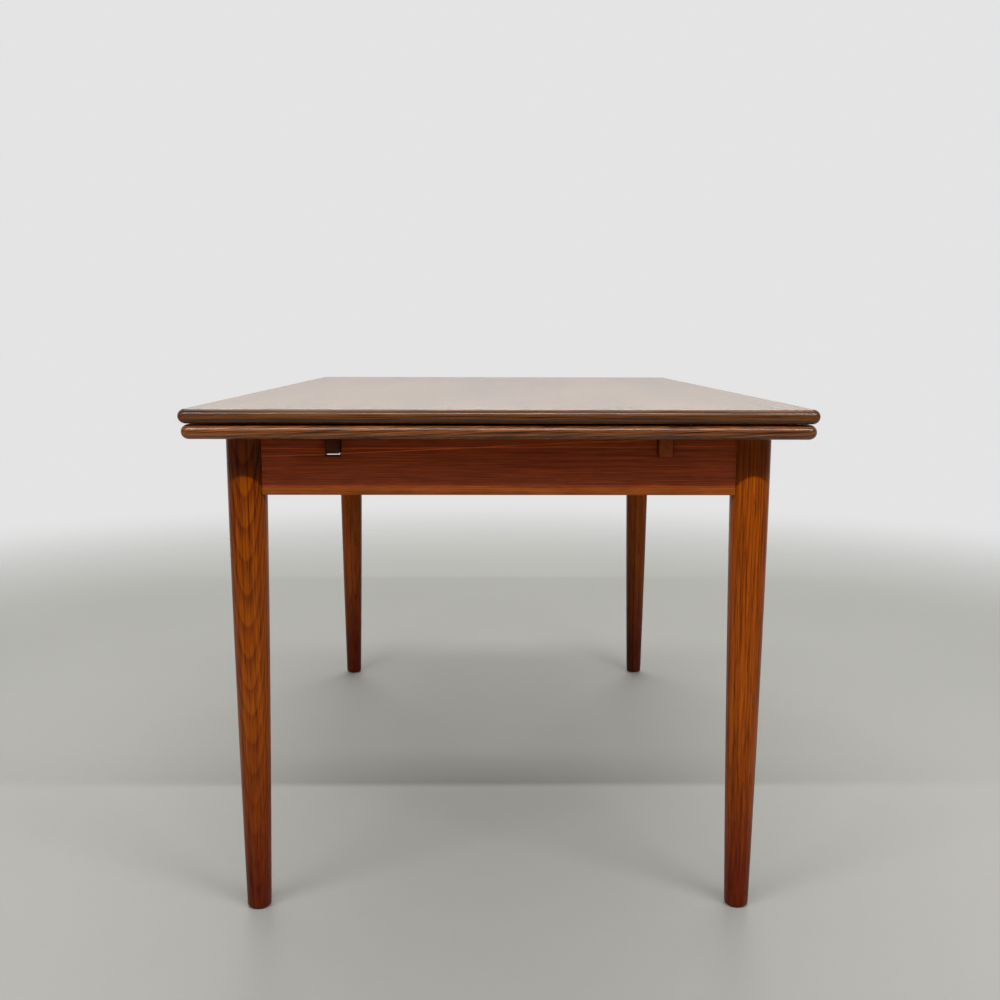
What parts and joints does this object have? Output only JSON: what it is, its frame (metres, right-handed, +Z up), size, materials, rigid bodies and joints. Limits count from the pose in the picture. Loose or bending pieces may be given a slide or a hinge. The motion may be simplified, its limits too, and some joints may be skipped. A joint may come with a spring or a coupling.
{
  "type": "draw leaf dining table",
  "caption": "Rectangular teak dining table on round tapered legs, with a draw leaf that slides out from under the top at each end.",
  "frame": {"origin": "on the floor under the middle of the table", "axes": "+X to the right across the table, +Y along it towards the rear end, +Z up; the front end is at -Y"},
  "size_m": [0.84, 1.32, 0.72],
  "materials": {
    "top_veneer": "satin lacquered teak veneer, pale where it catches the light",
    "top_edge": "satin solid teak lipping, rounded",
    "leaf_edge": "satin solid teak lipping, rounded, a little lighter",
    "apron_veneer": "satin red-brown teak veneer, grain along the apron",
    "apron_lipping": "satin solid wood strip, orange-brown",
    "leg_teak": "satin oiled teak, turned, grain along the leg",
    "runner_wood": "plain oiled beech, stained by age",
    "hidden_beech": "raw beech",
    "screw_steel": "zinc plated"
  },
  "bodies": {
    "frame": {"apron_front": "apron_veneer", "apron_left": "apron_veneer", "apron_lipping_front": "apron_lipping", "apron_lipping_left": "apron_lipping", "apron_lipping_rear": "apron_lipping", "apron_lipping_right": "apron_lipping", "apron_rear": "apron_veneer", "apron_right": "apron_veneer", "centre_board": "hidden_beech", "centre_board_screw_front_left": "screw_steel", "centre_board_screw_front_right": "screw_steel", "centre_board_screw_rear_left": "screw_steel", "centre_board_screw_rear_right": "screw_steel", "corner_block_front_left": "hidden_beech", "corner_block_front_right": "hidden_beech", "corner_block_rear_left": "hidden_beech", "corner_block_rear_right": "hidden_beech", "cross_rail_front": "hidden_beech", "cross_rail_rear": "hidden_beech", "leg_front_left": "leg_teak", "leg_front_right": "leg_teak", "leg_rear_left": "leg_teak", "leg_rear_right": "leg_teak"},
    "main_top": {"guide_peg_left": "hidden_beech", "guide_peg_right": "hidden_beech", "peg_retainer_left": "hidden_beech", "peg_retainer_right": "hidden_beech", "top_lipping_front": "top_edge", "top_lipping_left": "top_edge", "top_lipping_rear": "top_edge", "top_lipping_right": "top_edge", "top_panel": "top_veneer"},
    "front_leaf": {"front_leaf_lipping_inner": "leaf_edge", "front_leaf_lipping_left": "leaf_edge", "front_leaf_lipping_outer": "leaf_edge", "front_leaf_lipping_right": "leaf_edge", "front_leaf_panel": "top_veneer", "front_leaf_runner_left": "runner_wood", "front_leaf_runner_right": "runner_wood", "front_leaf_screw_left_inner": "screw_steel", "front_leaf_screw_left_outer": "screw_steel", "front_leaf_screw_right_inner": "screw_steel", "front_leaf_screw_right_outer": "screw_steel", "front_leaf_stop_peg_left": "hidden_beech", "front_leaf_stop_peg_right": "hidden_beech"},
    "rear_leaf": {"rear_leaf_lipping_inner": "leaf_edge", "rear_leaf_lipping_left": "leaf_edge", "rear_leaf_lipping_outer": "leaf_edge", "rear_leaf_lipping_right": "leaf_edge", "rear_leaf_panel": "top_veneer", "rear_leaf_runner_left": "runner_wood", "rear_leaf_runner_right": "runner_wood", "rear_leaf_screw_left_inner": "screw_steel", "rear_leaf_screw_left_outer": "screw_steel", "rear_leaf_screw_right_inner": "screw_steel", "rear_leaf_screw_right_outer": "screw_steel", "rear_leaf_stop_peg_left": "hidden_beech", "rear_leaf_stop_peg_right": "hidden_beech"}
  },
  "joints": [
    {"name": "top_lift", "type": "slide", "parent": "frame", "child": "main_top", "axis": [0, 0, -1], "range_m": [-0.03, 0]},
    {"name": "front_leaf_slide", "type": "slide", "parent": "frame", "child": "front_leaf", "axis": [0, -1, 0], "range_m": [0, 0.558]},
    {"name": "rear_leaf_slide", "type": "slide", "parent": "frame", "child": "rear_leaf", "axis": [0, 1, 0], "range_m": [0, 0.558]}
  ]
}
